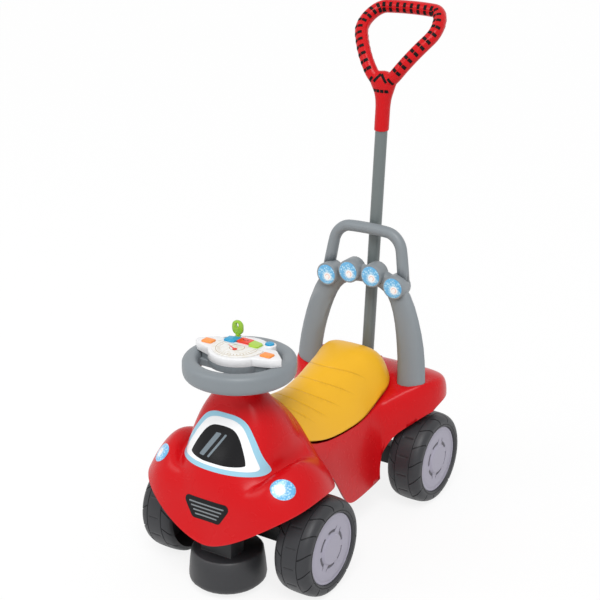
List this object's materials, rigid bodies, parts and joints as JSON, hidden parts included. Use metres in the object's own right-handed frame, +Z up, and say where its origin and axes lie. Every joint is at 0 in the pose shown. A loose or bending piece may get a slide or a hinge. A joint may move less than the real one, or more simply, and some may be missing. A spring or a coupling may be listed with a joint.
{
  "type": "kids ride-on car",
  "caption": "Foot-to-floor ride-on car with a moulded bonnet, a hinged saddle seat over a storage well, a steering wheel with play console, a lamp roll bar and a push handle.",
  "frame": {"origin": "on the floor, under the middle of the overall length and width", "axes": "+Z up, the car faces -Y and its left side is +X"},
  "size_m": [0.335, 0.6496, 0.877],
  "materials": {
    "red_shell": "satin moulded polyethylene",
    "yellow_seat": "satin moulded polyethylene",
    "grey_plastic": "satin moulded plastic",
    "tyre_grey": "dull moulded plastic",
    "black_plastic": "dull moulded plastic",
    "lilac_plastic": "satin moulded plastic",
    "pole_paint": "satin paint on steel tube",
    "white_plastic": "glossy moulded plastic",
    "cream_print": "printed sheet",
    "orange_plastic": "soft gloss",
    "blue_plastic": "soft gloss",
    "signal_red_plastic": "soft gloss",
    "light_green_plastic": "soft gloss",
    "green_plastic": "glossy, slightly translucent",
    "lens_blue": "clear tinted plastic",
    "board_green": "lacquered board",
    "cell_gold": "printed steel can",
    "steel": "zinc plated"
  },
  "bodies": {
    "car_body": {"body_shell": "red_shell", "storage_tub": "red_shell", "bonnet_shell": "red_shell", "front_frame": "black_plastic", "stop_block": "tyre_grey", "rear_axle_carrier": "black_plastic", "rear_axle": "steel", "axle_nut_rear_left": "steel", "axle_nut_rear_right": "steel", "pole_socket": "black_plastic", "roll_bar": "grey_plastic", "roll_bar_top": "grey_plastic", "roof_lamp_1": "lens_blue", "roof_lamp_2": "lens_blue", "roof_lamp_3": "lens_blue", "roof_lamp_4": "lens_blue", "hinge_bracket_left": "red_shell", "hinge_bracket_right": "red_shell", "seat_hinge_pin_left": "steel", "seat_hinge_pin_right": "steel", "upper_bush": "tyre_grey", "lower_bush": "white_plastic"},
    "steering": {"steering_wheel": "grey_plastic", "steering_column": "black_plastic", "steering_yoke": "black_plastic", "front_axle": "steel", "axle_nut_front_left": "steel", "axle_nut_front_right": "steel", "console_base": "grey_plastic", "console_cover": "white_plastic", "dial": "cream_print", "circuit_board": "board_green", "speaker": "black_plastic", "battery_1": "cell_gold", "battery_2": "cell_gold"},
    "wheel_front_left": {"tyre_front_left": "tyre_grey", "hub_cap_front_left": "lilac_plastic"},
    "wheel_front_right": {"tyre_front_right": "tyre_grey", "hub_cap_front_right": "lilac_plastic"},
    "wheel_rear_left": {"tyre_rear_left": "tyre_grey", "hub_cap_rear_left": "lilac_plastic"},
    "wheel_rear_right": {"tyre_rear_right": "tyre_grey", "hub_cap_rear_right": "lilac_plastic"},
    "seat_lid": {"seat": "yellow_seat", "seat_hinge_arm_left": "yellow_seat", "seat_hinge_arm_right": "yellow_seat"},
    "handle": {"push_pole": "pole_paint", "push_handle": "red_shell"},
    "button_left_cap": {"button_left": "orange_plastic"},
    "button_right_cap": {"button_right": "orange_plastic"},
    "button_blue_cap": {"button_blue": "blue_plastic"},
    "button_red_cap": {"button_red": "signal_red_plastic"},
    "button_green_cap": {"button_green": "light_green_plastic"},
    "button_round_cap": {"button_round": "blue_plastic"},
    "key": {"ignition_key": "green_plastic"}
  },
  "joints": [
    {"name": "steer", "type": "hinge", "parent": "car_body", "child": "steering", "pos_m": [0, -0.21735, 0.2], "axis": [0, 0, 1], "range_deg": [-20, 20]},
    {"name": "spin_front_left", "type": "hinge", "parent": "steering", "child": "wheel_front_left", "pos_m": [0.13575, -0.20095, 0.083], "axis": [1, 0, 0], "continuous": true},
    {"name": "spin_front_right", "type": "hinge", "parent": "steering", "child": "wheel_front_right", "pos_m": [-0.13575, -0.20095, 0.083], "axis": [1, 0, 0], "continuous": true},
    {"name": "spin_rear_left", "type": "hinge", "parent": "car_body", "child": "wheel_rear_left", "pos_m": [0.12325, 0.17635, 0.083], "axis": [1, 0, 0], "continuous": true},
    {"name": "spin_rear_right", "type": "hinge", "parent": "car_body", "child": "wheel_rear_right", "pos_m": [-0.12325, 0.17635, 0.083], "axis": [1, 0, 0], "continuous": true},
    {"name": "seat_lift", "type": "hinge", "parent": "car_body", "child": "seat_lid", "pos_m": [0, 0.1712, 0.256], "axis": [-1, 0, 0], "range_deg": [0, 35]},
    {"name": "handle_slide", "type": "slide", "parent": "car_body", "child": "handle", "axis": [0, 0.0902, 0.9959], "range_m": [0, 0.1]},
    {"name": "press_button_left", "type": "slide", "parent": "steering", "child": "button_left_cap", "axis": [0, 0, -1], "range_m": [0, 0.002], "stiffness_N_per_m": 400, "springref_m": -0.0005},
    {"name": "press_button_right", "type": "slide", "parent": "steering", "child": "button_right_cap", "axis": [0, 0, -1], "range_m": [0, 0.002], "stiffness_N_per_m": 400, "springref_m": -0.0005},
    {"name": "press_button_blue", "type": "slide", "parent": "steering", "child": "button_blue_cap", "axis": [0, 0, -1], "range_m": [0, 0.002], "stiffness_N_per_m": 400, "springref_m": -0.0005},
    {"name": "press_button_red", "type": "slide", "parent": "steering", "child": "button_red_cap", "axis": [0, 0, -1], "range_m": [0, 0.002], "stiffness_N_per_m": 400, "springref_m": -0.0005},
    {"name": "press_button_green", "type": "slide", "parent": "steering", "child": "button_green_cap", "axis": [0, 0, -1], "range_m": [0, 0.002], "stiffness_N_per_m": 400, "springref_m": -0.0005},
    {"name": "press_button_round", "type": "slide", "parent": "steering", "child": "button_round_cap", "axis": [0, 0, -1], "range_m": [0, 0.002], "stiffness_N_per_m": 400, "springref_m": -0.0005},
    {"name": "turn_key", "type": "hinge", "parent": "steering", "child": "key", "pos_m": [-0.0295, -0.17985, 0.4023], "axis": [0, 0, 1], "range_deg": [-35, 35]}
  ]
}
